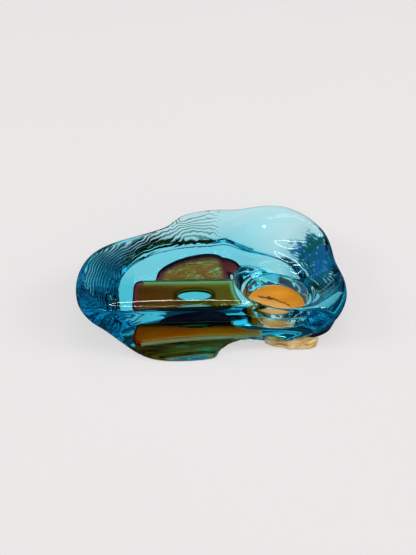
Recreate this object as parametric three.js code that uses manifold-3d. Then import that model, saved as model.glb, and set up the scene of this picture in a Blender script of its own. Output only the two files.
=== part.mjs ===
// Art glass paperweight: a thick pebble of clear aqua glass with a round well pressed into a dished hollow,
// laid over a thinner aqua base, with amber glass sheets held between the two.
// Millimetres, +Z up. It rests on z = 0, its long side lies along X and its straight front ridge faces -Y.
import * as THREE from "three";
import { mergeVertices } from "three/addons/utils/BufferGeometryUtils.js";
import Module from "manifold-3d";

const wasm = await Module();
wasm.setup();

// Pebble as a whole
const LENGTH = 186;
const DEPTH = 126;
const TOP_HEIGHT = 44;

// Pebble outline: distances from the middle at equal steps anticlockwise, starting at the right end,
// before the front is cut and the whole is stretched to the length and depth above
const WIDEST_RADII = [89.5, 91, 85.5, 64, 58.5, 55.5, 50.5, 61, 88, 98, 95, 90, 80, 83, 98.5, 99.5];
const FOOT_RADII = [70, 62, 48, 38, 33, 35, 41, 52, 63.5, 69, 75, 71.5, 63, 50, 66, 91];

// Pebble profile: the undercut wall, steeper at its foot where the power is higher, then a rounded shoulder;
// both change on the way round, in equal steps from the right end
const WIDEST_HEIGHT = 30;
const UNDERCUT_POWERS = [1.2, 2, 3, 2.5, 1.4, 0.9, 0.85, 0.9];
const SHOULDER_WIDTHS = [14, 14, 12, 10, 8, 8, 12, 12];

// Front face: how far forward it stands and how high, from its rounded ridge down to the flared foot,
// and the large radius by which it is hollow from end to end
const FRONT_PROFILE = [[-55.3, TOP_HEIGHT], [-57.2, 42.6], [-57.9, 40], [-54.6, 25], [-57, 10.8], [-65.6, 0]];
const FRONT_MIDDLE = 5;
const FRONT_HOLLOW_RADIUS = 770;

// Layers
const BASE_TOP = 10.8;
const CLEARANCE = 0.3;
const CASING_UNDERSIDE = BASE_TOP + CLEARANCE;
const SHEET_THICKNESS = 1.5;
const SHEET_UNDERSIDE = BASE_TOP - SHEET_THICKNESS;

// Notch low in the front face, between the bar and the foot
const NOTCH_CENTRE = new THREE.Vector3(27, -66, 0);
const NOTCH_RADII = new THREE.Vector3(25, 22, 15);

// Dished hollow: part of a large egg shape, its middle well above the top
const DISH_CENTRE = new THREE.Vector3(55, -9, 70);
const DISH_RADII = new THREE.Vector3(46, 63, 43);

// Round well: a steep cup, a ledge round the cup, a wider wall up to the rim, and the amber disc on its floor
const WELL_CENTRE = new THREE.Vector2(45, -27.5);
const WELL_FLOOR = 17;
const WELL_FLOOR_RADIUS = 20.5;
const WELL_CUP_HEIGHT = 28;
const WELL_CUP_RADIUS = 22;
const WELL_LEDGE_HEIGHT = 29;
const WELL_LEDGE_RADIUS = 24.8;
const WELL_RIM_HEIGHT = 38;
const WELL_RIM_RADIUS = 28.5;
const DISC_THICKNESS = 1;

// Amber bar: its ends and edges, the tail it narrows to at the right, and the oval window through it
const BAR_LEFT = -54;
const BAR_RIGHT = 16;
const BAR_FRONT = -55;
const BAR_BACK = -9.5;
const BAR_CORNER = 7;
const BAR_TAIL_END = 35;
const BAR_TAIL_FRONT = -47.5;
const BAR_TAIL_BACK = -38;
const WINDOW_CENTRE = new THREE.Vector2(-11.2, -25.6);
const WINDOW_HALF_LENGTH = 11.4;
const WINDOW_HALF_WIDTH = 4.5;

// Amber mound behind the bar: its straight side lies along the bar, its round edge runs from left to right
const MOUND_FRONT = BAR_BACK + CLEARANCE;
const MOUND_LEFT = -39;
const MOUND_RIGHT = 14.5;
const MOUND_EDGE = [[-36, 2], [-25.5, 11.5], [-12, 17.5], [1, 19], [9, 15], [13, 5]];

// Amber foot: ragged front edge from left to right, then round the back
const FOOT_FRONT_EDGE = [[36.5, -47], [42, -50.5], [47, -51.5], [54, -54], [61, -53.5], [66, -54], [72, -51.5]];
const FOOT_BACK_EDGE = [[73.5, -48], [65, -45], [54, -44.5], [43, -42.5]];
const FRONT_OF_EVERYTHING = -80;

// How far a cutting shape runs past the face it cuts
const OVERRUN = 1;

// Fineness of the curved surfaces
const RING_STEPS = 84;
const WALL_STEPS = 10;
const SHOULDER_STEPS = 8;
const DISH_STEPS = 72;
const NOTCH_STEPS = 40;
const FRONT_STEPS = 600;
const FRONT_PROFILE_STEPS = 18;
const WELL_STEPS = 64;
const OUTLINE_STEPS = 10;
const SAME_POINT = 0.001;
const BIG = 400;

const aquaGlass = new THREE.MeshStandardMaterial({ color: 0x5fc4d4, roughness: 0.04, metalness: 0 });
const aquaBaseGlass = new THREE.MeshStandardMaterial({ color: 0x7fd6de, roughness: 0.05, metalness: 0 });
const amberGlass = new THREE.MeshStandardMaterial({ color: 0x96690a, roughness: 0.25, metalness: 0.4 });
const moundGlass = new THREE.MeshStandardMaterial({ color: 0x7a5a1e, roughness: 0.25, metalness: 0.4 });
const orangeGlass = new THREE.MeshStandardMaterial({ color: 0xd98a1e, roughness: 0.3, metalness: 0.2 });
const creamGlass = new THREE.MeshStandardMaterial({ color: 0xe2b46e, roughness: 0.35, metalness: 0.3 });

// Smooth closed curve through evenly spaced values, read at a turn between 0 and 1
function valueAround(values, turn) {
  const place = turn * values.length;
  const first = Math.floor(place);
  const [a, b, c, d] = [-1, 0, 1, 2].map((k) => values[(first + k + values.length) % values.length]);
  const t = place - first;
  const bend = 2 * a - 5 * b + 4 * c - d;
  const twist = 3 * b - a - 3 * c + d;
  return 0.5 * (2 * b + (c - a) * t + bend * t * t + twist * t * t * t);
}

// One profile of the pebble from the middle of its foot, up the undercut wall and over the shoulder
function pebbleProfile(turn) {
  const widest = valueAround(WIDEST_RADII, turn);
  const foot = valueAround(FOOT_RADII, turn);
  const power = valueAround(UNDERCUT_POWERS, turn);
  const shoulder = valueAround(SHOULDER_WIDTHS, turn);
  const points = [new THREE.Vector2(0, 0)];
  for (let i = 0; i <= WALL_STEPS; i++) {
    const rise = i / WALL_STEPS;
    points.push(new THREE.Vector2(foot + (widest - foot) * Math.pow(rise, power), WIDEST_HEIGHT * rise));
  }
  for (let i = 1; i <= SHOULDER_STEPS; i++) {
    const angle = (i / SHOULDER_STEPS) * (Math.PI / 2);
    const radius = widest - shoulder + shoulder * Math.cos(angle);
    points.push(new THREE.Vector2(radius, WIDEST_HEIGHT + (TOP_HEIGHT - WIDEST_HEIGHT) * Math.sin(angle)));
  }
  points.push(new THREE.Vector2(0, TOP_HEIGHT));
  return points;
}

// The pebble before its front is cut: a turned shape whose every profile is moved to its own outline
function pebbleGeometry() {
  const geometry = new THREE.LatheGeometry(pebbleProfile(0), RING_STEPS);
  const position = geometry.getAttribute("position");
  const rows = pebbleProfile(0).length;
  for (let i = 0; i <= RING_STEPS; i++) {
    const turn = (i % RING_STEPS) / RING_STEPS;
    const angle = turn * 2 * Math.PI;
    pebbleProfile(turn).forEach((point, j) => {
      const [x, y] = [point.x * Math.cos(angle), point.x * Math.sin(angle)];
      position.setXYZ(i * rows + j, x, y, point.y);
    });
  }
  return geometry;
}

// A closed three.js geometry as a solid for cutting and joining
function solidOf(geometry) {
  const bare = new THREE.BufferGeometry();
  bare.setAttribute("position", geometry.getAttribute("position"));
  bare.setIndex(geometry.index);
  const merged = mergeVertices(bare, 1e-4);
  const index = merged.index.array;
  const triVerts = [];
  for (let i = 0; i < index.length; i += 3) {
    const [a, b, c] = [index[i], index[i + 1], index[i + 2]];
    if (a !== b && b !== c && c !== a) triVerts.push(a, b, c);
  }
  const vertProperties = new Float32Array(merged.getAttribute("position").array);
  return new wasm.Manifold(new wasm.Mesh({ numProp: 3, vertProperties, triVerts: new Uint32Array(triVerts) }));
}

// A solid back as a named mesh
function meshOf(name, solid, material) {
  const { vertProperties, triVerts } = solid.getMesh();
  const geometry = new THREE.BufferGeometry();
  geometry.setAttribute("position", new THREE.BufferAttribute(vertProperties, 3));
  geometry.setIndex(new THREE.BufferAttribute(triVerts, 1));
  geometry.computeVertexNormals();
  const mesh = new THREE.Mesh(geometry, material);
  mesh.name = name;
  return mesh;
}

// Everything between two heights
function slab(bottom, top) {
  const geometry = new THREE.BoxGeometry(BIG, BIG, top - bottom);
  return solidOf(geometry.translate(0, 0, (bottom + top) / 2));
}

// A flat outline raised between two heights
function raised(shape, bottom, top) {
  const settings = { depth: top - bottom, bevelEnabled: false, curveSegments: OUTLINE_STEPS };
  return solidOf(new THREE.ExtrudeGeometry(shape, settings).translate(0, 0, bottom));
}

// A shape turned on the well's axis, its profile given as radii and heights
function turnedInWell(profile) {
  const geometry = new THREE.LatheGeometry(profile.map(([r, z]) => new THREE.Vector2(r, z)), WELL_STEPS);
  geometry.rotateX(Math.PI / 2);
  return solidOf(geometry.translate(WELL_CENTRE.x, WELL_CENTRE.y, 0));
}

// An egg shape for pressing hollows
function egg(centre, radii, steps) {
  const geometry = new THREE.SphereGeometry(1, steps, steps / 2);
  geometry.scale(radii.x, radii.y, radii.z);
  return solidOf(geometry.translate(centre.x, centre.y, centre.z));
}

function barOutline() {
  const shape = new THREE.Shape();
  shape.moveTo(BAR_LEFT, BAR_FRONT + BAR_CORNER);
  shape.lineTo(BAR_LEFT, BAR_BACK - BAR_CORNER);
  shape.quadraticCurveTo(BAR_LEFT, BAR_BACK, BAR_LEFT + BAR_CORNER, BAR_BACK);
  shape.lineTo(BAR_RIGHT, BAR_BACK);
  shape.quadraticCurveTo(BAR_RIGHT, BAR_TAIL_BACK, BAR_TAIL_END, BAR_TAIL_BACK);
  shape.lineTo(BAR_TAIL_END, BAR_TAIL_FRONT);
  shape.quadraticCurveTo(WINDOW_CENTRE.x, BAR_TAIL_FRONT, BAR_LEFT + BAR_CORNER, BAR_FRONT);
  shape.quadraticCurveTo(BAR_LEFT, BAR_FRONT, BAR_LEFT, BAR_FRONT + BAR_CORNER);
  const opening = new THREE.Path();
  opening.absellipse(WINDOW_CENTRE.x, WINDOW_CENTRE.y, WINDOW_HALF_LENGTH, WINDOW_HALF_WIDTH, 0, 2 * Math.PI);
  shape.holes.push(opening);
  return shape;
}

function moundOutline() {
  const shape = new THREE.Shape();
  shape.moveTo(MOUND_LEFT, MOUND_FRONT);
  const edge = [...MOUND_EDGE, [MOUND_RIGHT, MOUND_FRONT]];
  shape.splineThru(edge.map(([x, y]) => new THREE.Vector2(x, y)));
  return shape;
}

function footOutline() {
  const edge = [...FOOT_FRONT_EDGE, ...FOOT_BACK_EDGE];
  return new THREE.Shape(edge.map(([x, y]) => new THREE.Vector2(x, y)));
}

// The direction that points out of an anticlockwise outline along one of its sides
function outward(from, to) {
  return new THREE.Vector2(to.y - from.y, from.x - to.x).normalize();
}

// An outline's corners, moved outward so that every side shifts by the margin
function pushedOut(outline, margin) {
  const drawn = outline.getPoints(OUTLINE_STEPS);
  const corners = drawn.filter((point, i) => point.distanceTo(drawn.at(i - 1)) > SAME_POINT);
  if (THREE.ShapeUtils.isClockWise(corners)) corners.reverse();
  return corners.map((corner, i) => {
    const before = outward(corners.at(i - 1), corner);
    const after = outward(corner, corners[(i + 1) % corners.length]);
    const reach = margin / (1 + before.dot(after));
    return before.add(after).multiplyScalar(reach).add(corner);
  });
}

// The pocket for a flat piece: the clearance is left all round it and round the post in its opening
function pocket(outline, bottom) {
  const walls = new THREE.Shape(pushedOut(outline, CLEARANCE));
  walls.holes = outline.holes.map((hole) => new THREE.Path(pushedOut(hole, -CLEARANCE)));
  return raised(walls, bottom, BASE_TOP + OVERRUN);
}

// Room for the foot: its pocket, and all that lies in front of it
function footRoom() {
  const [left, right] = [FOOT_FRONT_EDGE[0], FOOT_BACK_EDGE[0]];
  const ahead = new THREE.Shape([
    new THREE.Vector2(left[0] - CLEARANCE, left[1]),
    new THREE.Vector2(left[0] - CLEARANCE, FRONT_OF_EVERYTHING),
    new THREE.Vector2(right[0] + CLEARANCE, FRONT_OF_EVERYTHING),
    new THREE.Vector2(right[0] + CLEARANCE, right[1]),
  ]);
  return pocket(footOutline(), -OVERRUN).add(raised(ahead, -OVERRUN, BASE_TOP + OVERRUN));
}

// What is cut away from the front: a very large turned drum whose side follows the front's profile
function frontCut() {
  const axis = FRONT_PROFILE[0][0] - FRONT_HOLLOW_RADIUS;
  const curve = new THREE.SplineCurve(FRONT_PROFILE.map(([y, z]) => new THREE.Vector2(y - axis, z)));
  const side = curve.getSpacedPoints(FRONT_PROFILE_STEPS).reverse();
  const [bottom, top] = [side[0], side.at(-1)];
  const profile = [
    new THREE.Vector2(0, bottom.y - OVERRUN),
    new THREE.Vector2(bottom.x, bottom.y - OVERRUN),
    ...side,
    new THREE.Vector2(top.x, top.y + OVERRUN),
    new THREE.Vector2(0, top.y + OVERRUN),
  ];
  const drum = new THREE.LatheGeometry(profile, FRONT_STEPS).rotateX(Math.PI / 2);
  return solidOf(drum.translate(FRONT_MIDDLE, axis, 0));
}

// The pebble with its front and notch cut, stretched to its length and depth
function pebbleSolid() {
  const cut = solidOf(pebbleGeometry()).subtract(frontCut());
  const { min, max } = cut.boundingBox();
  const sized = cut.scale([LENGTH / (max[0] - min[0]), DEPTH / (max[1] - min[1]), 1]);
  return sized.subtract(egg(NOTCH_CENTRE, NOTCH_RADII, NOTCH_STEPS));
}

const pebble = pebbleSolid();

function casing() {
  const upper = pebble.intersect(slab(CASING_UNDERSIDE, TOP_HEIGHT + OVERRUN));
  const well = turnedInWell([
    [0, WELL_FLOOR],
    [WELL_FLOOR_RADIUS, WELL_FLOOR],
    [WELL_CUP_RADIUS, WELL_CUP_HEIGHT],
    [WELL_LEDGE_RADIUS, WELL_LEDGE_HEIGHT],
    [WELL_RIM_RADIUS, WELL_RIM_HEIGHT],
    [WELL_RIM_RADIUS, TOP_HEIGHT + OVERRUN],
    [0, TOP_HEIGHT + OVERRUN],
  ]);
  return upper.subtract(egg(DISH_CENTRE, DISH_RADII, DISH_STEPS)).subtract(well);
}

function base() {
  const lower = pebble.intersect(slab(-OVERRUN, BASE_TOP));
  const pocketFloor = SHEET_UNDERSIDE - CLEARANCE;
  const sheets = pocket(barOutline(), pocketFloor).add(pocket(moundOutline(), pocketFloor));
  return lower.subtract(sheets).subtract(footRoom());
}

// A flat amber sheet pressed into the top of the base, never wider than the pebble
function sheet(outline) {
  return raised(outline, SHEET_UNDERSIDE, BASE_TOP).intersect(pebble);
}

function wellDisc() {
  const radius = WELL_FLOOR_RADIUS - CLEARANCE;
  const underside = WELL_FLOOR + CLEARANCE;
  const top = underside + DISC_THICKNESS;
  return turnedInWell([[0, underside], [radius, underside], [radius, top], [0, top]]);
}

// The pieces, moved together so that the middle of the whole rests on the origin
const pieces = new THREE.Group();
pieces.add(
  meshOf("aqua_casing", casing(), aquaGlass),
  meshOf("aqua_base", base(), aquaBaseGlass),
  meshOf("amber_bar", sheet(barOutline()), amberGlass),
  meshOf("amber_mound", sheet(moundOutline()), moundGlass),
  meshOf("amber_foot", raised(footOutline(), 0, BASE_TOP), creamGlass),
  meshOf("amber_well_disc", wellDisc(), orangeGlass),
);
const middle = new THREE.Box3().setFromObject(pieces).getCenter(new THREE.Vector3());
pieces.position.set(-middle.x, -middle.y, 0);

const group = new THREE.Group();
group.add(pieces);

export default group;
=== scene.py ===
import math

import bpy
import numpy as np
from mathutils import Euler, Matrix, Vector

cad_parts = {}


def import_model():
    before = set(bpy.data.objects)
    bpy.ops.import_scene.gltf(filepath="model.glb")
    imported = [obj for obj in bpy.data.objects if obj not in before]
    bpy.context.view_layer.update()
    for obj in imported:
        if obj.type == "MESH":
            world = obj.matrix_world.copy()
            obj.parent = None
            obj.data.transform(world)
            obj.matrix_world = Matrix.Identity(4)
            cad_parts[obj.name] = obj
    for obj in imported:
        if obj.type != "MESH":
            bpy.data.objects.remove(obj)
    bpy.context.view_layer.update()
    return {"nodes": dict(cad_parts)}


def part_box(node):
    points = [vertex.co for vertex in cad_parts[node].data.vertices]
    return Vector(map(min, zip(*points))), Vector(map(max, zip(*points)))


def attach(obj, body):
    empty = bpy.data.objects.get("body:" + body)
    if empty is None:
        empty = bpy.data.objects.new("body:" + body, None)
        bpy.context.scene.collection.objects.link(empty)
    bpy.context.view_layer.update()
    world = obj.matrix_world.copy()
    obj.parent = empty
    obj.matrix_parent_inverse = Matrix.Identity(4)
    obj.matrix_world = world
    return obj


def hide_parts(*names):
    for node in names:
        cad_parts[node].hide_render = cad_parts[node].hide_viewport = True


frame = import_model()

# Sizes are in millimetres in the pebble's own frame, which SHIFT moves to the shared frame.
# Lists of single numbers run round the pebble in equal steps, from +X towards +Y.

# Pebble
STRETCH = (0.998, 0.978)
WIDEST_RADII = [89.5, 91, 85.5, 64, 58.5, 55.5, 50.5, 61, 88, 98, 95, 90, 80, 83, 98.5, 99.5]
FOOT_RADII = [70, 62, 48, 38, 33, 35, 41, 52, 63.5, 69, 75, 71.5, 63, 50, 66, 91]
SHOULDER_WIDTHS = [14, 14, 12, 10, 8, 8, 12, 12]
UNDERCUT_POWERS = [1.2, 2.0, 3.0, 2.5, 1.4, 0.9, 0.85, 0.9]
WIDEST_HEIGHT = 30.0
TOP_HEIGHT = 44.0
FOOT_BLEND = 1.6

# Front face, and the droop of the top towards its ridge
RIDGE = -58.3
RIDGE_BLEND = 3.0
FRONT_UNDERCUT = 0.195
FRONT_FLARE = 0.0255
FRONT_FLARE_TOP = 25.0
FRONT_MIDDLE = 5.0
FRONT_HOLLOW_RADIUS = 770.0
DROOP_START = -50.0
DROOP_RADIUS = 72.0

# Notch, dish and well
NOTCH_CENTRE = (27.0, -66.0, 0.0)
NOTCH_RADII = (25.0, 22.0, 15.0)
NOTCH_BLEND = 1.2
DISH_CENTRE = (55.0, -9.0, 70.0)
DISH_RADII = (46.0, 63.0, 43.0)
DISH_BLEND = 3.0
DISH_SIDE_BLEND = 5.0
DISH_SIDE_FRONT, DISH_SIDE_BACK, DISH_SIDE_FADE = -30.0, 26.0, 12.0
WELL_CENTRE = (45.0, -27.5)
WELL_FLOOR = 17.0
WELL_FLOOR_RADIUS = 20.5
WELL_FLOOR_BLEND = 2.0
WELL_CUP_RADIUS = 22.0
WELL_CUP_HEIGHT = 28.0
WELL_LEDGE_RADIUS = 24.8
WELL_LEDGE_HEIGHT = 29.0
WELL_LEDGE_BLEND = 1.5
WELL_RIM_RADIUS = 28.5
WELL_RIM_HEIGHT = 38.0
WELL_RIM_BLEND = 1.2
WELL_WAVES_ROUND = 12

# Amber layers
BAR_LEFT, BAR_RIGHT, BAR_FRONT, BAR_BACK, BAR_CORNER = -54.0, 16.0, -55.0, -9.5, 7.0
BAR_TAIL_END, BAR_TAIL_FRONT, BAR_TAIL_BACK = 35.0, -47.5, -38.0
BAR_MIDDLE, BAR_HALF_THICKNESS, BAR_BLEND = 8.4, 2.4, 2.6
BAR_DEPTH_IN_GLASS = 0.5
BAR_TINT_LENGTH, BAR_BACK_HIGHLIGHT_STRIP = 74.0, 12.0
BAR_TINT_END, BAR_SKIN_END = 7.0, 6.0
WINDOW_CENTRE = (-11.2, -25.6)
WINDOW_HALF = (11.4, 4.5)
MOUND_EDGE = [(-39, -9.2), (-36, 2), (-25.5, 11.5), (-12, 17.5), (1, 19), (9, 15), (13, 5), (14.5, -9.2)]
MOUND_LOW, MOUND_EDGE_TOP, MOUND_RISE, MOUND_ROUNDING = 7.0, 9.8, 3.4, 6.0
MOUND_TOP_BLEND, MOUND_LOW_BLEND = 2.0, 1.5
FLAKE_EDGE = [(36.5, -47), (42, -50.5), (47, -51.5), (54, -54), (61, -53.5), (66, -54), (72, -51.5),
              (73.5, -48), (65, -49), (54, -49.5), (43, -46)]
FLAKE_TOP, FLAKE_TOP_START, FLAKE_TOP_FALL = 9.6, 40.0, 0.08
FLAKE_TOP_BLEND, FLAKE_LOW_BLEND = 0.8, 0.6
CRACK_START, CRACK_END = (33.0, -18.6), (56.0, -28.5)

# Chill ripples of the walls
RIPPLE_STRENGTHS = [0.7, 0.4, 0, 0, 0.5, 0.8, 1, 1, 1.6, 2.6, 1.6, 1, 1, 1, 1, 1]
RIPPLE_PITCHES = [1, 1, 1, 0.8, 0.65, 0.6, 0.65, 0.85, 1, 1, 1, 1, 1, 1, 1, 1]
RIPPLE_PERIOD = 3.3
RIPPLE_DEPTH, RIPPLE_DEPTH_CHANGE = 0.2, 0.34
RIPPLE_MEAN, CREASE_ROUNDING = 0.64, 0.012

# Glass: what it absorbs, then its tints, which are mostly painted shade, as shares round the pebble and
# where they begin and end
GLASS_INDEX, GLASS_COLOUR, GLASS_DENSITY = 1.5, (0.02, 0.82, 0.925), 32.0
# Painted shade on the walls and shoulders: dark lines and blots; LINES, DARK, TEAL and BROWN set its look
# round the pebble
PAINTED_SHADE = [0.95, 1.0, -0.5, 0, 0.36, 0.5, 0.62, 0.8, 1.0, 0.6, 0, 0, 0, 0, 0, 0.95]
LOW_PAINTED_SHADE = [0.9, 0.5, -0.4, 0.9, 1.0, 1.0, 0.6, -0.2, 0.2, 0.1, 0, 0, 0, 0, 0.2, 0.9]
SHOULDER_PAINTED_SHADE = [0.2, 0, 0, 0, 0, 0, 0.3, 0.7, 0.9, 0.3, 0, 0, 0, 0, 0, 0.2]
LINES = [0.6, 0.4, 0.1, 0.3, 1, 1, 1, 1, 1, 1, 1, 1, 1, 1, 1, 0.4]
DARK = [0.3, 0.2, 0, 0, 0, 0, 0.2, 0.6, 0.85, 0.6, 0.2, 0, 0, 0, 0, 0.4]
TEAL = [0.3, 0, 0, 0, 0, 0, 0, 0.3, 0.8, 0.8, 0.4, 0, 0, 0, 0, 0.3]
BROWN = [0, 0, 0.4, 0.7, 0.9, 0.8, 0.6, 0.2, 0, 0, 0, 0, 0, 0, 0, 0]
PAINTED_SHADE_START, LOW_PAINTED_SHADE_END, SHOULDER_PAINTED_SHADE_START = 6.0, 9.0, 26.0
WALL_REACH = 2.5
# From RIGHT_SOLE_START the sole at the right front gets painted shade
SOLE_HEIGHT, SOLE_BACK, RIGHT_SOLE_START = 0.8, 8.0, 50.0
WINDOW_SHADE_SHIFT, WINDOW_SHADE_HALF = 4.6, (13.0, 6.0)

# Meshes and noise
GLASS_BOX = (-98.0, -72.0, -1.6), (98.0, 68.0, 46.0)
BAR_BOX = (-57.0, -62.0, 4.0), (38.0, -6.0, 13.0)
MOUND_BOX = (-42.0, -12.0, 5.0), (24.0, 23.0, 16.0)
FLAKE_BOX = (33.0, -58.0, -1.2), (77.0, -39.0, 13.0)
NET_STEP = 0.84
SHEET_STEP = 0.6
NOISE_SEED, NOISE_SIZE = 7, 64
CELL_CORNERS = [(i, j, k) for i in (0, 1) for j in (0, 1) for k in (0, 1)]

# Camera and floor
CAMERA_PLACE = (-1.7, -455.0, 415.6)
CAMERA_PITCH, CAMERA_ROLL = 41.0, -0.889
FOCAL_PIXELS, PHOTO_HEIGHT_PIXELS = 838.0, 555.0
FILM_HEIGHT = 36.0
FLOOR_GAP = 0.6
FLOOR_REACH = 3000.0

# Lamps, in metres in the shared frame, and colours
BOX_LAMP_PLACES = {"left box": (-1.4, -0.4, 1.3), "right box": (1.4, -0.4, 1.3)}
BOX_LAMP_TARGET = (0, 0, 0.02)
BOX_LAMP_SIDE, BOX_LAMP_POWER = 0.6, 10.5
BACKDROP = (0.82, 0.79, 0.79)
BLACK, WHITE = (0, 0, 0), (1, 1, 1)

disc_low, disc_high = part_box("amber_well_disc")
SHIFT = np.array([
    500 * (disc_low[0] + disc_high[0]) - WELL_CENTRE[0],
    500 * (disc_low[1] + disc_high[1]) - WELL_CENTRE[1],
    0.0,
])


# Implicit shapes: negative inside, close to a distance in millimetres

def around(values, turn):
    """A smooth closed curve through the values, read at a turn from 0 to 1."""
    values = np.asarray(values, float)
    place = turn * len(values)
    first = np.floor(place).astype(int)
    t = place - first
    a, b, c, d = (values[(first + k) % len(values)] for k in (-1, 0, 1, 2))
    curve = 2 * a - 5 * b + 4 * c - d
    twist = 3 * b - a - 3 * c + d
    return 0.5 * (2 * b + (c - a) * t + curve * t * t + twist * t * t * t)


def share(values, turn):
    return np.clip(around(values, turn), 0, 1)


def rises(value, start, width):
    return np.clip((value - start) / width, 0, 1)


def falls(value, end, width):
    return np.clip((end - value) / width, 0, 1)


def smooth_max(a, b, blend):
    h = np.maximum(blend - np.abs(a - b), 0) / blend
    return np.maximum(a, b) + h * h * blend / 4


NOISE = np.random.default_rng(NOISE_SEED).random((NOISE_SIZE, NOISE_SIZE))


def noise(u, v):
    """Smooth noise between -0.5 and 0.5."""
    i, j = np.floor(u).astype(int), np.floor(v).astype(int)
    s, t = u - i, v - j
    s, t = s * s * (3 - 2 * s), t * t * (3 - 2 * t)
    left, right = i % NOISE_SIZE, (i + 1) % NOISE_SIZE
    bottom, top = j % NOISE_SIZE, (j + 1) % NOISE_SIZE
    low = NOISE[left, bottom] * (1 - s) + NOISE[right, bottom] * s
    high = NOISE[left, top] * (1 - s) + NOISE[right, top] * s
    return low * (1 - t) + high * t - 0.5


def egg(x, y, z, centre, radii):
    """About the distance to an ellipsoid."""
    p = [x - centre[0], y - centre[1], z - centre[2]]
    k0 = np.sqrt(sum((q / r) ** 2 for q, r in zip(p, radii))) + 1e-9
    k1 = np.sqrt(sum((q / r ** 2) ** 2 for q, r in zip(p, radii))) + 1e-9
    return k0 * (k0 - 1) / k1


def ripple_place(turn, along):
    wander = 8.0 * noise(turn * 16, along / 22 + 5) + 3.2 * noise(turn * 64, along / 9)
    return along * around(RIPPLE_PITCHES, turn) + wander + 0.9 * noise(turn * 192, along / 5)


def ripples(turn, z, along):
    wave = np.sin(np.pi * ripple_place(turn, along) / RIPPLE_PERIOD)
    crease = np.sqrt(wave ** 2 + CREASE_ROUNDING)
    depth = RIPPLE_DEPTH + RIPPLE_DEPTH_CHANGE * noise(turn * 32, along / 7 + 20)
    depth = depth * np.clip(around(RIPPLE_STRENGTHS, turn), 0, 3)
    return falls(z, WIDEST_HEIGHT, 3.0) * rises(z, 0.0, 1.5) * depth * (crease - RIPPLE_MEAN)


def front(x, y, z):
    below = np.maximum(FRONT_FLARE_TOP - z, 0)
    face = RIDGE + FRONT_UNDERCUT * (TOP_HEIGHT - z) - FRONT_FLARE * below ** 2
    slope = FRONT_UNDERCUT - 2 * FRONT_FLARE * below
    face = face - (x - FRONT_MIDDLE) ** 2 / (2 * FRONT_HOLLOW_RADIUS)
    return (face - y) / np.sqrt(1 + slope ** 2)


def turn_at(x, y):
    return (np.arctan2(y / STRETCH[1], x / STRETCH[0]) / (2 * np.pi)) % 1.0


def wall_at(turn, z):
    """The wall's radius and slope at a height, and how far up the wall that is."""
    widest = around(WIDEST_RADII, turn)
    foot = around(FOOT_RADII, turn)
    power = around(UNDERCUT_POWERS, turn)
    rise = np.clip(z / WIDEST_HEIGHT, 0.02, 1.0)
    wall = foot + (widest - foot) * rise ** power
    slope = (widest - foot) * power / WIDEST_HEIGHT * rise ** (power - 1)
    return wall, slope, wall - foot + 0.8 * z


def pebble(x, y, z):
    turn = turn_at(x, y)
    x, y = x / STRETCH[0], y / STRETCH[1]
    out = np.hypot(x, y)
    wall, slope, along = wall_at(turn, z)
    lower = (out - wall) / np.sqrt(1 + slope ** 2) - ripples(turn, z, along)
    widest = around(WIDEST_RADII, turn)
    shoulder = around(SHOULDER_WIDTHS, turn)
    across = np.maximum(out - (widest - shoulder), 0) / shoulder
    up = np.maximum(z - WIDEST_HEIGHT, 0) / (TOP_HEIGHT - WIDEST_HEIGHT)
    upper = (np.hypot(across, up) - 1) * shoulder
    body = np.where(z < WIDEST_HEIGHT, lower, upper)
    droop = np.maximum(DROOP_START - y, 0) ** 2 / (2 * DROOP_RADIUS)
    body = np.maximum(body, z - TOP_HEIGHT + droop)
    body = smooth_max(body, front(x, y, z), RIDGE_BLEND)
    return smooth_max(body, -z, FOOT_BLEND)


def cone(out, z, radius, height, top_radius, top_height):
    """A round wall through two radii at two heights."""
    flare = (top_radius - radius) / (top_height - height)
    return (out - radius - flare * (z - height)) / math.hypot(1, flare)


def well(x, y, z):
    out = np.hypot(x - WELL_CENTRE[0], y - WELL_CENTRE[1])
    place = WELL_WAVES_ROUND * np.arctan2(y - WELL_CENTRE[1], x - WELL_CENTRE[0])
    cup = cone(out, z, WELL_FLOOR_RADIUS, WELL_FLOOR, WELL_CUP_RADIUS, WELL_CUP_HEIGHT)
    cup = cup + 0.35 * noise(place / 2 + 30, z / 4) + 0.25 * noise(place + 30, z / 2)
    ledge = cone(out, z, WELL_CUP_RADIUS, WELL_CUP_HEIGHT, WELL_LEDGE_RADIUS, WELL_LEDGE_HEIGHT)
    funnel = cone(out, z, WELL_LEDGE_RADIUS, WELL_LEDGE_HEIGHT, WELL_RIM_RADIUS, WELL_RIM_HEIGHT)
    upper = smooth_max(ledge, funnel, WELL_LEDGE_BLEND)
    upper = smooth_max(upper, out - WELL_RIM_RADIUS, WELL_LEDGE_BLEND)
    wall = -smooth_max(-cup, -upper, WELL_LEDGE_BLEND)
    return smooth_max(wall, WELL_FLOOR - z, WELL_FLOOR_BLEND)


def glass(x, y, z):
    body = pebble(x, y, z)
    ragged = 0.9 * noise(x / 3 + 7, z / 3) + 0.5 * noise(x / 1.3, z / 1.6 + 11)
    body = smooth_max(body, ragged - egg(x, y, z, NOTCH_CENTRE, NOTCH_RADII), NOTCH_BLEND)
    at_side = rises(y, DISH_SIDE_FRONT, DISH_SIDE_FADE) * falls(y, DISH_SIDE_BACK, DISH_SIDE_FADE)
    softness = DISH_BLEND + DISH_SIDE_BLEND * at_side
    body = smooth_max(body, -egg(x, y, z, DISH_CENTRE, DISH_RADII), softness)
    return smooth_max(body, -well(x, y, z), WELL_RIM_BLEND)


def smooth_line(points, steps=8):
    """A smooth open line through the points."""
    p = np.asarray([points[0], *points, points[-1]], float)
    t = np.arange(steps)[:, None] / steps
    rows = []
    for a, b, c, d in zip(p, p[1:], p[2:], p[3:]):
        rows.append(0.5 * (2 * b + (c - a) * t + (2 * a - 5 * b + 4 * c - d) * t ** 2
                           + (3 * b - a - 3 * c + d) * t ** 3))
    return np.concatenate([*rows, p[-1:]])


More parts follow.
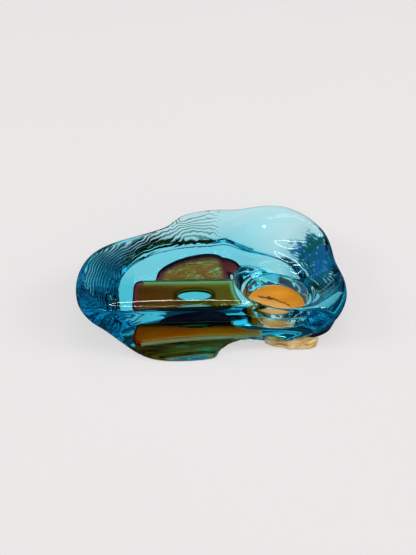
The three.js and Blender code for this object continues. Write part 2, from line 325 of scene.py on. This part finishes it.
def bend(a, b, c, steps=8):
    """A rounded corner from a to c, drawn towards b."""
    t = np.linspace(0, 1, steps)[:, None]
    return (1 - t) ** 2 * np.array(a) + 2 * t * (1 - t) * np.array(b) + t ** 2 * np.array(c)


def bar_line():
    near, far = BAR_LEFT + BAR_CORNER, BAR_BACK - BAR_CORNER
    return np.concatenate([
        bend((BAR_LEFT, far), (BAR_LEFT, BAR_BACK), (near, BAR_BACK)),
        bend((BAR_RIGHT, BAR_BACK), (BAR_RIGHT, BAR_TAIL_BACK), (BAR_TAIL_END, BAR_TAIL_BACK)),
        bend((BAR_TAIL_END, BAR_TAIL_FRONT), (WINDOW_CENTRE[0], BAR_TAIL_FRONT), (near, BAR_FRONT)),
        bend((near, BAR_FRONT), (BAR_LEFT, BAR_FRONT), (BAR_LEFT, BAR_FRONT + BAR_CORNER))[1:],
    ])


BAR_LINE = bar_line()
MOUND_LINE = smooth_line(MOUND_EDGE)
FLAKE_LINE = np.array(FLAKE_EDGE, float)


def outline(line, x, y):
    """The distance to a closed line, negative inside it."""
    nearest = np.full(np.shape(x), 1e9)
    inside = np.zeros(np.shape(x), bool)
    for (ax, ay), (bx, by) in zip(line, np.roll(line, -1, 0)):
        dx, dy = bx - ax, by - ay
        t = np.clip(((x - ax) * dx + (y - ay) * dy) / (dx * dx + dy * dy), 0, 1)
        nearest = np.minimum(nearest, np.hypot(x - ax - t * dx, y - ay - t * dy))
        if dy:
            inside ^= ((y < ay) != (y < by)) & (x < ax + (y - ay) / dy * dx)
    return np.where(inside, -nearest, nearest)


def window(x, y):
    return egg(x, y, np.zeros_like(x), (*WINDOW_CENTRE, 0), (*WINDOW_HALF, 1))


def bar(x, y, z):
    edge = np.maximum(outline(BAR_LINE, x, y), -window(x, y))
    slab = smooth_max(edge, np.abs(z - BAR_MIDDLE) - BAR_HALF_THICKNESS, BAR_BLEND)
    return np.maximum(slab, glass(x, y, z) + BAR_DEPTH_IN_GLASS)


def mound(x, y, z):
    edge = outline(MOUND_LINE, x, y)
    dome = z - MOUND_EDGE_TOP - MOUND_RISE * (1 - np.exp(np.minimum(edge, 0) / MOUND_ROUNDING))
    return smooth_max(smooth_max(edge, dome, MOUND_TOP_BLEND), MOUND_LOW - z, MOUND_LOW_BLEND)


def flake(x, y, z):
    edge = outline(FLAKE_LINE, x, y) + 0.6 * noise(x / 2.6, z / 4) + 0.4 * noise(x / 1.1, z / 2 + 9)
    top = FLAKE_TOP - FLAKE_TOP_FALL * (x - FLAKE_TOP_START) + 1.6 * noise(x / 4, y / 4 + 3)
    return smooth_max(smooth_max(edge, z - top, FLAKE_TOP_BLEND), -z, FLAKE_LOW_BLEND)


# Meshes of the zero surfaces: one vertex in each cell that the surface crosses, moved onto it

def gradient(field, p, reach=0.04):
    out = np.empty_like(p)
    for k in range(3):
        step = np.zeros(3)
        step[k] = reach
        a, b = p + step, p - step
        out[:, k] = (field(a[:, 0], a[:, 1], a[:, 2]) - field(b[:, 0], b[:, 1], b[:, 2])) / (2 * reach)
    return out


def sample(field, xs, ys, zs):
    gx, gy = np.meshgrid(xs, ys, indexing="ij")
    value = np.empty((len(xs), len(ys), len(zs)), np.float32)
    for k, z in enumerate(zs):
        value[:, :, k] = field(gx, gy, np.full_like(gx, z))
    return value


def crossed_cells(inside):
    """The cells with corners on both sides, and a grid of their numbers."""
    nx, ny, nz = (n - 1 for n in inside.shape)
    count = np.zeros((nx, ny, nz), np.int8)
    for i, j, k in CELL_CORNERS:
        count += inside[i:nx + i, j:ny + j, k:nz + k]
    cells = np.argwhere((count > 0) & (count < len(CELL_CORNERS)))
    number = np.full(count.shape, -1, np.int64)
    number[tuple(cells.T)] = np.arange(len(cells))
    return cells, number


def crossing_middles(value, cells):
    """The mean of the points where the surface crosses each cell's edges."""
    total = np.zeros((len(cells), 3))
    hits = np.zeros(len(cells))
    for a in CELL_CORNERS:
        for axis in range(3):
            if a[axis]:
                continue
            b = list(a)
            b[axis] = 1
            va = value[tuple((cells + a).T)]
            vb = value[tuple((cells + b).T)]
            cross = (va < 0) != (vb < 0)
            t = np.where(cross, va / np.where(cross, va - vb, 1), 0)
            point = np.array(a, float) + t[:, None] * (np.array(b) - np.array(a))
            total += point * cross[:, None]
            hits += cross
    return total / hits[:, None]


def settle(field, points, step):
    for _ in range(4):
        g = gradient(field, points)
        f = field(points[:, 0], points[:, 1], points[:, 2])
        move = g * (f / np.maximum((g ** 2).sum(1), 1e-6))[:, None]
        length = np.linalg.norm(move, axis=1, keepdims=True)
        points -= move * np.minimum(1, 0.5 * step / np.maximum(length, 1e-9))


def crossing_faces(inside, number):
    """One quad round each grid edge that the surface crosses, turned outwards."""
    faces = []
    shape = inside.shape
    for axis in range(3):
        u, v = (axis + 1) % 3, (axis + 2) % 3
        first, second = [slice(None)] * 3, [slice(None)] * 3
        first[axis], second[axis] = slice(0, -1), slice(1, None)
        edge = np.argwhere(inside[tuple(first)] != inside[tuple(second)])
        at_u, at_v = edge[:, u], edge[:, v]
        edge = edge[(at_u > 0) & (at_v > 0) & (at_u < shape[u] - 1) & (at_v < shape[v] - 1)]
        starts_inside = inside[tuple(edge.T)]
        ring = []
        for du, dv in ((-1, -1), (0, -1), (0, 0), (-1, 0)):
            cell = edge.copy()
            cell[:, u] += du
            cell[:, v] += dv
            ring.append(number[tuple(cell.T)])
        ring = np.stack(ring, 1)
        ring[~starts_inside] = ring[~starts_inside][:, ::-1]
        faces.append(ring)
    return np.concatenate(faces)


def net(field, low, high, step):
    xs, ys, zs = (np.arange(a, b + step, step) for a, b in zip(low, high))
    value = sample(field, xs, ys, zs)
    inside = value < 0
    cells, number = crossed_cells(inside)
    points = np.array([xs[0], ys[0], zs[0]]) + (cells + crossing_middles(value, cells)) * step
    settle(field, points, step)
    normals = gradient(field, points)
    normals /= np.linalg.norm(normals, axis=1, keepdims=True)
    return points, crossing_faces(inside, number), normals


def mesh_object(name, points, faces, normals, **values):
    mesh = bpy.data.meshes.new(name)
    mesh.from_pydata(((points + SHIFT) * 0.001).tolist(), [], faces.tolist())
    mesh.polygons.foreach_set("use_smooth", np.ones(len(mesh.polygons), bool))
    for key, value in values.items():
        mesh.attributes.new(key, "FLOAT", "POINT").data.foreach_set("value", value.astype(np.float32))
    mesh.normals_split_custom_set_from_vertices(normals.tolist())
    mesh.update()
    piece = bpy.data.objects.new(name, mesh)
    bpy.context.scene.collection.objects.link(piece)
    return piece


# Materials

def shared_x(x):
    return (x + SHIFT[0]) / 1000


def shared_y(y):
    return (y + SHIFT[1]) / 1000


class Nodes:
    """A material and short calls for adding nodes to it; n stands for one in the functions below."""

    def __init__(self, name):
        self.material = bpy.data.materials.new(name)
        self.material.use_nodes = True
        self.tree = self.material.node_tree
        self.shader = self.tree.nodes["Principled BSDF"]
        self.output = self.tree.nodes["Material Output"]
        self.place = self.add("ShaderNodeTexCoord").outputs["Object"]

    def add(self, kind, **settings):
        node = self.tree.nodes.new(kind)
        for key, value in settings.items():
            setattr(node, key, value)
        return node

    def link(self, a, b):
        self.tree.links.new(a, b)

    def noise(self, scale, detail=3.0, stretch=None, distortion=0.0):
        node = self.add("ShaderNodeTexNoise")
        node.inputs["Scale"].default_value = scale
        node.inputs["Detail"].default_value = detail
        node.inputs["Distortion"].default_value = distortion
        place = self.place
        if stretch:
            mapping = self.add("ShaderNodeMapping")
            mapping.inputs["Scale"].default_value = stretch
            self.link(place, mapping.inputs["Vector"])
            place = mapping.outputs["Vector"]
        self.link(place, node.inputs["Vector"])
        return node.outputs["Fac"]

    def ramp(self, value, *stops):
        node = self.add("ShaderNodeValToRGB")
        ramp = node.color_ramp
        while len(ramp.elements) < len(stops):
            ramp.elements.new(0.5)
        for element, (position, colour) in zip(ramp.elements, stops):
            element.position = position
            element.color = (*colour, 1)
        self.link(value, node.inputs["Fac"])
        return node.outputs["Color"]

    def math(self, kind, a, b=0.0, c=0.0):
        node = self.add("ShaderNodeMath", operation=kind)
        for socket, value in zip(node.inputs, (a, b, c)):
            if isinstance(value, (int, float)):
                socket.default_value = value
            else:
                self.link(value, socket)
        return node.outputs[0]

    def mix(self, fac, a, b):
        node = self.add("ShaderNodeMixRGB")
        for socket, value in zip(node.inputs, (fac, a, b)):
            if isinstance(value, (int, float)):
                socket.default_value = value
            elif isinstance(value, tuple):
                socket.default_value = (*value, 1)
            else:
                self.link(value, socket)
        return node.outputs[0]

    def blend(self, weight, a, b):
        node = self.add("ShaderNodeMixShader")
        if isinstance(weight, float):
            node.inputs[0].default_value = weight
        else:
            self.link(weight, node.inputs[0])
        self.link(a, node.inputs[1])
        self.link(b, node.inputs[2])
        return node.outputs[0]

    def emission(self, colour, strength=1.0):
        node = self.add("ShaderNodeEmission")
        node.inputs["Strength"].default_value = strength
        if isinstance(colour, tuple):
            node.inputs["Color"].default_value = (*colour, 1)
        else:
            self.link(colour, node.inputs["Color"])
        return node.outputs[0]

    def axes(self):
        node = self.add("ShaderNodeSeparateXYZ")
        self.link(self.place, node.inputs[0])
        return node.outputs

    def attribute(self, name):
        return self.add("ShaderNodeAttribute", attribute_name=name).outputs["Fac"]

    def bump(self, height, distance, strength=1.0):
        node = self.add("ShaderNodeBump")
        node.inputs["Strength"].default_value = strength
        node.inputs["Distance"].default_value = distance
        self.link(height, node.inputs["Height"])
        self.link(node.outputs["Normal"], self.shader.inputs["Normal"])

    def set(self, **values):
        for key, value in values.items():
            self.shader.inputs[key.replace("_", " ")].default_value = value


# Aqua glass absorbs red. Its surface is tinted by the shares that glass_marks gives each vertex, mostly
# painted shade.

def painted_shade_lines(n):
    """How much painted shade darkens the glass, from 0 to 1: lines along the ripples, blots where there
    are no lines.
    """
    phase = n.math("MULTIPLY", n.attribute("ripple"), math.pi / RIPPLE_PERIOD)
    wave = n.math("ABSOLUTE", n.math("SINE", phase))
    mottle = n.math("MULTIPLY", n.math("SUBTRACT", n.noise(40.0, 4.0), 0.5), 1.3)
    painted_shade = n.attribute("painted_shade")
    cloud = n.math("MULTIPLY", painted_shade, n.math("ADD", mottle, 1.0))
    lined = n.math("ADD", n.math("MULTIPLY", n.math("SUBTRACT", cloud, wave), 3.0), 0.5)
    shade_blots = n.math("SUBTRACT", n.noise(110.0, 6.0, (1, 1, 2), 1.6), 0.5)
    shade_blots = n.math("MULTIPLY_ADD", shade_blots, 11.0, n.math("MULTIPLY_ADD", painted_shade, 3.6, -2.6))
    line = n.mix(n.attribute("lines"), shade_blots, lined)
    line = n.math("MINIMUM", n.math("MAXIMUM", line, 0.0), 1.0)
    return n.math("MULTIPLY", line, n.math("GREATER_THAN", painted_shade, 0.01))


# The colour where painted shade is thickest: navy patches, brown round the back, near black where deepest.
def painted_shade_colour(n):
    patches = n.ramp(n.noise(55.0, 3.0), (0.44, BLACK), (0.56, WHITE))
    blue = n.mix(patches, (0.0001, 0.012, 0.016), (0.0001, 0.022, 0.16))
    dark = n.mix(n.attribute("brown"), blue, (0.2, 0.16, 0.1))
    return n.mix(n.attribute("deep"), dark, (0.0001, 0.006, 0.012))


# The glass between the dark lines: a darker teal tint of painted shade, spots of painted glints on the
# cup, and the sole's tint.
def clear_glass(n):
    clear = n.mix(n.attribute("teal"), WHITE, (0.006, 0.36, 0.42))
    painted_glint_spots = n.ramp(n.noise(110.0, 3.0), (0.4, (0.03, 0.45, 0.65)), (0.5, (0.12, 1.0, 0.8)),
                   (0.62, (0.9, 1.0, 0.95)))
    clear = n.mix(n.attribute("cup"), clear, painted_glint_spots)
    return n.mix(n.attribute("sole"), clear, (0.18, 0.74, 0.78))


def aqua_material():
    n = Nodes("aqua glass")
    n.set(Roughness=0.0, IOR=GLASS_INDEX, Transmission_Weight=1.0)
    line = painted_shade_lines(n)
    # Lines of painted shade: thin ones take the middle colour, thick ones the painted shade colour.
    middle = n.mix(n.attribute("brown"), (0.01, 0.3, 0.48), (0.4, 0.4, 0.32))
    thin = n.mix(n.ramp(line, (0.0, BLACK), (0.4, WHITE)), clear_glass(n), middle)
    thick = n.ramp(line, (0.4, BLACK), (1.0, WHITE))
    n.link(n.mix(thick, thin, painted_shade_colour(n)), n.shader.inputs["Base Color"])
    volume = n.add("ShaderNodeVolumeAbsorption")
    volume.inputs["Color"].default_value = (*GLASS_COLOUR, 1)
    volume.inputs["Density"].default_value = GLASS_DENSITY
    n.link(volume.outputs["Volume"], n.output.inputs["Volume"])
    return n.material


# Amber glass: a tinted window where it is faced, a coloured skin at grazing angles and underneath.
# The window is solid at least by the share solid, and wholly so past the grazing stops and on steep edges.

def sheet_material(name, tint, skin, under, solid, grazing, edge, glow):
    n = Nodes(name)
    n.set(Roughness=0.4, Specular_IOR_Level=0.0)
    lean = n.add("ShaderNodeLayerWeight")
    lean.inputs["Blend"].default_value = 0.5
    facing = lean.outputs["Facing"]
    normal = n.add("ShaderNodeSeparateXYZ")
    n.link(n.add("ShaderNodeNewGeometry").outputs["Normal"], normal.inputs[0])
    up = normal.outputs["Z"]
    down = n.math("LESS_THAN", up, -0.3)
    streaks = n.noise(90.0, 4.0, (0.5, 4, 1), 1.0)
    colour = n.mix(down, skin(n), n.ramp(streaks, *under))
    n.link(colour, n.shader.inputs["Base Color"])
    n.bump(n.noise(90.0, 2.0, (1, 2, 1)), 0.0006, 0.5)
    soft = n.add("ShaderNodeBsdfTranslucent")
    n.link(colour, soft.inputs["Color"])
    body = n.blend(glow, n.shader.outputs[0], soft.outputs[0])
    through = n.add("ShaderNodeBsdfTransparent")
    n.link(tint(n), through.inputs["Color"])
    above = n.ramp(facing, (grazing[0], (solid,) * 3), (grazing[1], WHITE))
    above = n.math("MAXIMUM", above, n.math("LESS_THAN", n.math("ABSOLUTE", up), edge))
    below = n.ramp(facing, (0.26, BLACK), (0.36, (0.9, 0.9, 0.9)))
    both = n.blend(n.mix(down, above, below), through.outputs[0], body)
    n.link(both, n.output.inputs["Surface"])
    return n.material


def rim(n, width, inner, outer):
    """The inner colour, with the outer one along the sheet's edge."""
    place = n.math("DIVIDE", n.attribute("edge"), width)
    place = n.math("ADD", place, n.math("MULTIPLY", n.math("SUBTRACT", n.noise(60.0), 0.5), 0.5))
    return n.mix(n.ramp(place, (0.45, WHITE), (1.0, BLACK)), inner, outer)


def bar_tint(n):
    x, y = n.axes()[:2]
    wisps = n.math("MULTIPLY", n.math("SUBTRACT", n.noise(30.0, 3.0, (1, 2.5, 1), 0.6), 0.5), 0.9)
    place = n.math("DIVIDE", n.math("SUBTRACT", x, shared_x(BAR_LEFT)), BAR_TINT_LENGTH / 1000)
    place = n.math("ADD", place, wisps)
    body = n.ramp(place, (0.0, (0.6, 0.19, 0.06)), (0.3, (0.7, 0.27, 0.07)), (0.6, (0.85, 0.36, 0.08)),
                  (0.95, (0.75, 0.42, 0.12)))
    # Lighter towards the back edge: the bar's paler tone there, with a painted highlight along the edge.
    back = n.math("SUBTRACT", y, shared_y(BAR_BACK - BAR_BACK_HIGHLIGHT_STRIP))
    back = n.math("MULTIPLY", back, 1000 / BAR_BACK_HIGHLIGHT_STRIP)
    body = n.mix(n.ramp(back, (0.4, BLACK), (0.9, WHITE)), body, (1.0, 0.82, 0.42))
    left = n.math("LESS_THAN", x, shared_x(BAR_LEFT + BAR_TINT_END))
    body = rim(n, 4.0, body, n.mix(left, (1.0, 0.9, 0.55), (0.85, 0.2, 0.29)))
    ring = n.attribute("window")
    shade = n.ramp(ring, (0.1, BLACK), (0.18, WHITE), (0.4, BLACK))
    body = n.mix(shade, body, (0.2, 0.1, 0.03))
    return n.mix(n.ramp(ring, (0.09, WHITE), (0.14, BLACK)), body, (0.4, 0.75, 0.1))


def bar_skin(n):
    x, y = n.axes()[:2]
    wisps = n.noise(28.0, 3.0, (1, 2.2, 1), 0.6)
    gold = n.ramp(wisps, (0.3, (1.0, 0.23, 0.0)), (0.5, (1.0, 0.32, 0.0)), (0.7, (1.0, 0.42, 0.0)))
    # Along the edges a painted highlight, with dark purple on the left edge instead.
    left = n.math("LESS_THAN", x, shared_x(BAR_LEFT + BAR_SKIN_END))
    purple_edge_and_highlight = n.mix(left, (0.9, 1.0, 0.9), (0.3, 0.03, 0.03))
    back = n.math("ADD", n.math("MULTIPLY_ADD", x, 0.2, y), n.math("MULTIPLY", wisps, 0.008))
    back = n.ramp(n.math("MULTIPLY_ADD", back, 20.0, 1.0), (0.42, BLACK), (0.66, WHITE))
    return rim(n, 2.6, n.mix(back, gold, (0.012, 0.006, 0.02)), purple_edge_and_highlight)


def mound_tint(n):
    wisps = n.noise(28.0, 3.0, (1, 2.2, 1), 0.6)
    body = n.ramp(wisps, (0.32, (1.0, 0.35, 0.13)), (0.5, (1.0, 0.44, 0.18)), (0.68, (1.0, 0.56, 0.3)))
    # Pale swirling lines: painted highlights.
    painted_swirl_highlight = n.math("ABSOLUTE", n.math("SUBTRACT", n.noise(38.0, 1.0, (1, 2.5, 1), 1.5), 0.5))
    body = n.mix(n.ramp(painted_swirl_highlight, (0.012, WHITE), (0.03, BLACK)), body, (1.0, 0.82, 0.55))
    return rim(n, 7.0, body, (0.8, 0.2, 0.22))


def mound_skin(n):
    return n.ramp(n.noise(40.0), (0.35, (0.03, 0.006, 0.02)), (0.65, (0.12, 0.03, 0.05)))


# Pieces

def stand_in(piece, material, *nodes):
    piece.data.materials.append(material)
    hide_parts(*nodes)
    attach(piece, "root")


def cup_share(x, y, z):
    """The back half of the cup's wall, which gets spots of painted glints."""
    out = np.hypot(x - WELL_CENTRE[0], y - WELL_CENTRE[1])
    back_half = (out < WELL_CUP_RADIUS + 0.5) & (y > WELL_CENTRE[1])
    return back_half * rises(z, WELL_FLOOR + 1, 2) * falls(z, WELL_CUP_HEIGHT + 1, 1.5)


def sole_share(x, y, z):
    """The underside left of the bar and under its window."""
    centre = (WINDOW_CENTRE[0], WINDOW_CENTRE[1] + WINDOW_SHADE_SHIFT, 0)
    below_window = egg(x, y, np.zeros_like(z), centre, (*WINDOW_SHADE_HALF, 1)) < 0
    return (z < SOLE_HEIGHT) * falls(y, SOLE_BACK, 16) * ((x < BAR_LEFT) | below_window)


def glass_marks(x, y, z):
    """What aqua_material reads at each vertex: the place in the ripples, and shares of each tint, mostly
    painted shade.
    """
    turn = turn_at(x, y)
    wall, _, along = wall_at(turn, z)
    on_wall = np.abs(np.hypot(x / STRETCH[0], y / STRETCH[1]) - wall) < WALL_REACH
    fade = on_wall * falls(z, WIDEST_HEIGHT, 2) * rises(z, 0.36, 1.2)
    high = np.clip(around(PAINTED_SHADE, turn), 0, 2) * rises(z, PAINTED_SHADE_START, 5)
    low = 3.0 * share(LOW_PAINTED_SHADE, turn) * falls(z, LOW_PAINTED_SHADE_END, 3)
    over = share(SHOULDER_PAINTED_SHADE, turn) * (z > SHOULDER_PAINTED_SHADE_START) * falls(z, TOP_HEIGHT - 1, 9)
    painted_shade = np.maximum(np.maximum(high, low) * fade, over)
    lines = share(LINES, turn)
    # Painted shade on the sole at the right front, for its contact shadow.
    right_sole_painted_shade = 0.8 * (z < SOLE_HEIGHT) * rises(x, RIGHT_SOLE_START, 12)
    return {
        "ripple": ripple_place(turn, along),
        "painted_shade": painted_shade,
        "brown": share(BROWN, turn),
        "lines": lines,
        "deep": np.clip(np.maximum(low * fade, around(DARK, turn)), 0, 1),
        "teal": np.maximum(np.maximum((1 - lines) * painted_shade, right_sole_painted_shade), share(TEAL, turn) * fade),
        "cup": cup_share(x, y, z),
        "sole": sole_share(x, y, z),
    }


def build_glass():
    points, faces, normals = net(glass, *GLASS_BOX, NET_STEP)
    piece = mesh_object("aqua_glass", points, faces, normals, **glass_marks(*points.T))
    stand_in(piece, aqua_material(), "aqua_casing", "aqua_base")


def build_bar():
    points, faces, normals = net(bar, *BAR_BOX, SHEET_STEP)
    x, y = points[:, 0], points[:, 1]
    under = ((0.4, (0.02, 0.01, 0.002)), (0.47, (1.0, 0.35, 0.0)), (0.53, (0.3, 0.12, 0.01)),
             (0.6, (0.25, 0.9, 0.7)))
    material = sheet_material("amber bar", bar_tint, bar_skin, under,
                              solid=0.06, grazing=(0.1, 0.55), edge=0.6, glow=0.95)
    edge = -outline(BAR_LINE, x, y)
    piece = mesh_object("amber_bar_sheet", points, faces, normals, edge=edge, window=window(x, y) / 10)
    stand_in(piece, material, "amber_bar")


def build_mound():
    points, faces, normals = net(mound, *MOUND_BOX, SHEET_STEP)
    long_line = np.concatenate([MOUND_LINE[:1] - (0, 30), MOUND_LINE, MOUND_LINE[-1:] - (0, 30)])
    edge = -outline(long_line, points[:, 0], points[:, 1])
    under = ((0.35, (0.05, 0.02, 0.01)), (0.65, (0.14, 0.07, 0.03)))
    material = sheet_material("amber mound", mound_tint, mound_skin, under,
                              solid=0.05, grazing=(0.16, 0.3), edge=0.0, glow=0.2)
    piece = mesh_object("amber_mound_sheet", points, faces, normals, edge=edge)
    stand_in(piece, material, "amber_mound")


def flake_material():
    n = Nodes("amber foot")
    n.set(Roughness=0.35, Metallic=0.15)
    streaks = n.noise(70.0, 4.0, (1, 2, 3), 1.2)
    colour = n.ramp(streaks, (0.3, (0.4, 0.18, 0.03)), (0.42, (0.8, 0.48, 0.15)), (0.58, (0.9, 0.7, 0.38)))
    height = n.math("ADD", n.axes()[2], n.math("MULTIPLY", n.noise(160.0), 0.004))
    low = n.ramp(height, (0.0022, WHITE), (0.0036, BLACK))
    n.link(n.mix(low, colour, (0.2, 0.22, 0.05)), n.shader.inputs["Base Color"])
    n.bump(streaks, 0.0008, 0.6)
    return n.material


def build_flake():
    points, faces, normals = net(flake, *FLAKE_BOX, SHEET_STEP)
    piece = mesh_object("amber_foot_flake", points, faces, normals)
    stand_in(piece, flake_material(), "amber_foot")


def crack_places(n):
    """For each point of the disc: metres behind the crack's line, and whether it lies beside the crack."""
    x, y = n.axes()[:2]
    run = (CRACK_END[0] - CRACK_START[0], CRACK_END[1] - CRACK_START[1])
    length = math.hypot(*run)
    along, aside = run[0] / length, -run[1] / length
    east = n.math("SUBTRACT", x, shared_x(CRACK_START[0]))
    north = n.math("SUBTRACT", y, shared_y(CRACK_START[1]))
    behind = n.math("ADD", n.math("MULTIPLY", north, along), n.math("MULTIPLY", east, aside))
    wobble = n.math("MULTIPLY", n.math("SUBTRACT", n.noise(130.0, 3.0), 0.5), 0.009)
    reach = n.math("SUBTRACT", n.math("MULTIPLY", east, along), n.math("MULTIPLY", north, aside))
    half = length / 2000
    beside = n.math("LESS_THAN", n.math("ABSOLUTE", n.math("SUBTRACT", reach, half)), half)
    return n.math("ADD", behind, wobble), beside


def disc_material():
    n = Nodes("amber disc")
    n.set(Roughness=0.35, Metallic=0.1)
    behind, beside = crack_places(n)
    body = n.ramp(n.noise(60.0, 4.0, (1, 2, 1)), (0.3, (0.7, 0.24, 0.004)), (0.5, (0.84, 0.3, 0.005)),
                  (0.7, (0.9, 0.38, 0.012)))
    cream = n.ramp(n.math("ADD", n.math("MULTIPLY", behind, 60.0), 0.5), (0.3, WHITE), (0.47, BLACK))
    body = n.mix(n.math("MULTIPLY", cream, 0.45), body, (0.9, 0.6, 0.2))
    crack = n.ramp(n.math("ABSOLUTE", n.math("MULTIPLY", behind, 1000.0)), (0.3, WHITE), (0.75, BLACK))
    colour = n.mix(n.math("MULTIPLY", crack, beside), body, (0.05, 0.02, 0.01))
    n.link(colour, n.shader.inputs["Base Color"])
    return n.material


def paint(node, material):
    piece = frame["nodes"][node]
    piece.data.materials.clear()
    piece.data.materials.append(material)


build_glass()
build_bar()
build_mound()
build_flake()
paint("amber_well_disc", disc_material())


# Floor and light

def floor_material():
    """Diffuse and even for the camera, dim in mirrored rays, pale near the pebble through the glass."""
    n = Nodes("floor")
    n.tree.nodes.remove(n.shader)
    diffuse = n.add("ShaderNodeBsdfDiffuse")
    cloud = n.ramp(n.noise(3.0, 2.0), (0.3, (0.79, 0.78, 0.78)), (0.7, (0.81, 0.8, 0.8)))
    n.link(cloud, diffuse.inputs["Color"])
    x = n.axes()[0]
    aside = n.math("MAXIMUM", n.math("MULTIPLY", x, 1.8), n.math("MULTIPLY", x, -1.0))
    pale = n.ramp(aside, (0.17, (0.88, 0.87, 0.87)), (0.42, (0.06, 0.06, 0.065)))
    rays = n.add("ShaderNodeLightPath").outputs
    seen = n.math("MULTIPLY", rays["Is Camera Ray"], 0.65)
    shader = n.blend(seen, diffuse.outputs[0], n.emission(BACKDROP))
    shader = n.blend(rays["Is Glossy Ray"], shader, n.emission((0.015, 0.015, 0.015)))
    shader = n.blend(rays["Is Transmission Ray"], shader, n.emission(pale))
    n.link(shader, n.output.inputs["Surface"])
    return n.material


def floor():
    far = FLOOR_REACH / 1000
    mesh = bpy.data.meshes.new("floor")
    corners = [(-far, -far, 0), (far, -far, 0), (far, far, 0), (-far, far, 0)]
    mesh.from_pydata(corners, [], [(0, 1, 2, 3)])
    mesh.materials.append(floor_material())
    piece = bpy.data.objects.new("floor", mesh)
    piece.location.z = -FLOOR_GAP / 1000
    bpy.context.scene.collection.objects.link(piece)


# A thin hoop of light, mirrored in the glass as a loop; its inner line is shifted to one side

def ring_lamp(centre, outer, inner, shift, strength):
    steps = 64
    points, faces = [], []
    for k in range(steps):
        turn = 2 * math.pi * k / steps
        points.append((outer[0] * math.cos(turn), outer[1] * math.sin(turn), 0))
        points.append((inner[0] * math.cos(turn) + shift, inner[1] * math.sin(turn), 0))
        after = (2 * k + 2) % (2 * steps)
        faces.append((2 * k, after, after + 1, 2 * k + 1))
    mesh = bpy.data.meshes.new("ring lamp")
    mesh.from_pydata(points, [], faces)
    n = Nodes("ring lamp")
    n.tree.nodes.remove(n.shader)
    n.link(n.emission(WHITE, strength), n.output.inputs["Surface"])
    mesh.materials.append(n.material)
    piece = bpy.data.objects.new("ring lamp", mesh)
    piece.location = centre
    piece.rotation_euler = Vector(centre).to_track_quat("Z", "Y").to_euler()
    bpy.context.scene.collection.objects.link(piece)


# A dim room with three soft glows; mirrored rays see it darker, the camera sees the backdrop alone

def world():
    room = bpy.data.worlds.new("studio")
    bpy.context.scene.world = room
    room.use_nodes = True
    nodes, links = room.node_tree.nodes, room.node_tree.links
    way = nodes.new("ShaderNodeTexCoord").outputs["Generated"]
    rays = nodes.new("ShaderNodeLightPath").outputs

    def blend(weight, colour, other):
        node = nodes.new("ShaderNodeMixRGB")
        links.new(weight, node.inputs["Fac"])
        links.new(colour, node.inputs["Color1"])
        node.inputs["Color2"].default_value = (*other, 1)
        return node.outputs[0]

    def glow(colour, towards, start, end, level):
        lean = nodes.new("ShaderNodeVectorMath")
        lean.operation = "DOT_PRODUCT"
        lean.inputs[1].default_value = towards
        links.new(way, lean.inputs[0])
        ramp = nodes.new("ShaderNodeValToRGB")
        ramp.color_ramp.elements[0].position = start
        ramp.color_ramp.elements[1].position = end
        links.new(lean.outputs["Value"], ramp.inputs["Fac"])
        return blend(ramp.outputs["Color"], colour, (level,) * 3)

    base = nodes.new("ShaderNodeRGB")
    base.outputs[0].default_value = (0.07, 0.07, 0.075, 1)
    colour = glow(base.outputs[0], (0.0, -0.6, 0.8), 0.72, 0.86, 1.3)
    colour = glow(colour, (0.9, -0.35, 0.26), 0.75, 0.92, 1.3)
    colour = glow(colour, (-0.97, 0.15, 0.15), 0.88, 0.96, 1.0)
    mirrored = nodes.new("ShaderNodeMath")
    mirrored.operation = "SUBTRACT"
    mirrored.use_clamp = True
    links.new(rays["Is Glossy Ray"], mirrored.inputs[0])
    links.new(rays["Is Transmission Ray"], mirrored.inputs[1])
    colour = blend(mirrored.outputs[0], colour, (0.03, 0.03, 0.03))
    colour = blend(rays["Is Camera Ray"], colour, BACKDROP)
    links.new(colour, nodes["Background"].inputs["Color"])


def box_lamp(name, place):
    data = bpy.data.lights.new(name, "AREA")
    data.shape = "RECTANGLE"
    data.size, data.size_y = BOX_LAMP_SIDE, BOX_LAMP_SIDE
    data.energy = BOX_LAMP_POWER
    piece = bpy.data.objects.new(name, data)
    piece.location = place
    piece.rotation_euler = (Vector(BOX_LAMP_TARGET) - Vector(place)).to_track_quat("-Z", "Y").to_euler()
    piece.visible_transmission = False
    bpy.context.scene.collection.objects.link(piece)


def camera():
    data = bpy.data.cameras.new("camera")
    data.sensor_fit = "VERTICAL"
    data.sensor_height = FILM_HEIGHT
    data.lens = FILM_HEIGHT * FOCAL_PIXELS / PHOTO_HEIGHT_PIXELS
    piece = bpy.data.objects.new("camera", data)
    piece.location = (SHIFT + CAMERA_PLACE) / 1000
    tilt = Euler((math.radians(90 - CAMERA_PITCH), 0, 0)).to_matrix()
    roll = Euler((0, 0, math.radians(CAMERA_ROLL))).to_matrix()
    piece.rotation_euler = (tilt @ roll).to_euler()
    bpy.context.scene.collection.objects.link(piece)
    bpy.context.scene.camera = piece


floor()
world()
for lamp_name, lamp_place in BOX_LAMP_PLACES.items():
    box_lamp(lamp_name, lamp_place)
# The loop on the ridge, then the two in the dish
ring_lamp((-0.088, 1.24, 1.53), outer=(0.212, 0.185), inner=(0.208, 0.15), shift=0.0, strength=15.0)
ring_lamp((0.03, 0.28, 1.4), outer=(0.56, 0.12), inner=(0.538, 0.094), shift=0.018, strength=11.0)
ring_lamp((0.24, 0.64, 1.3), outer=(0.36, 0.08), inner=(0.342, 0.06), shift=0.014, strength=11.0)
camera()
bpy.context.scene.view_settings.view_transform = "Standard"
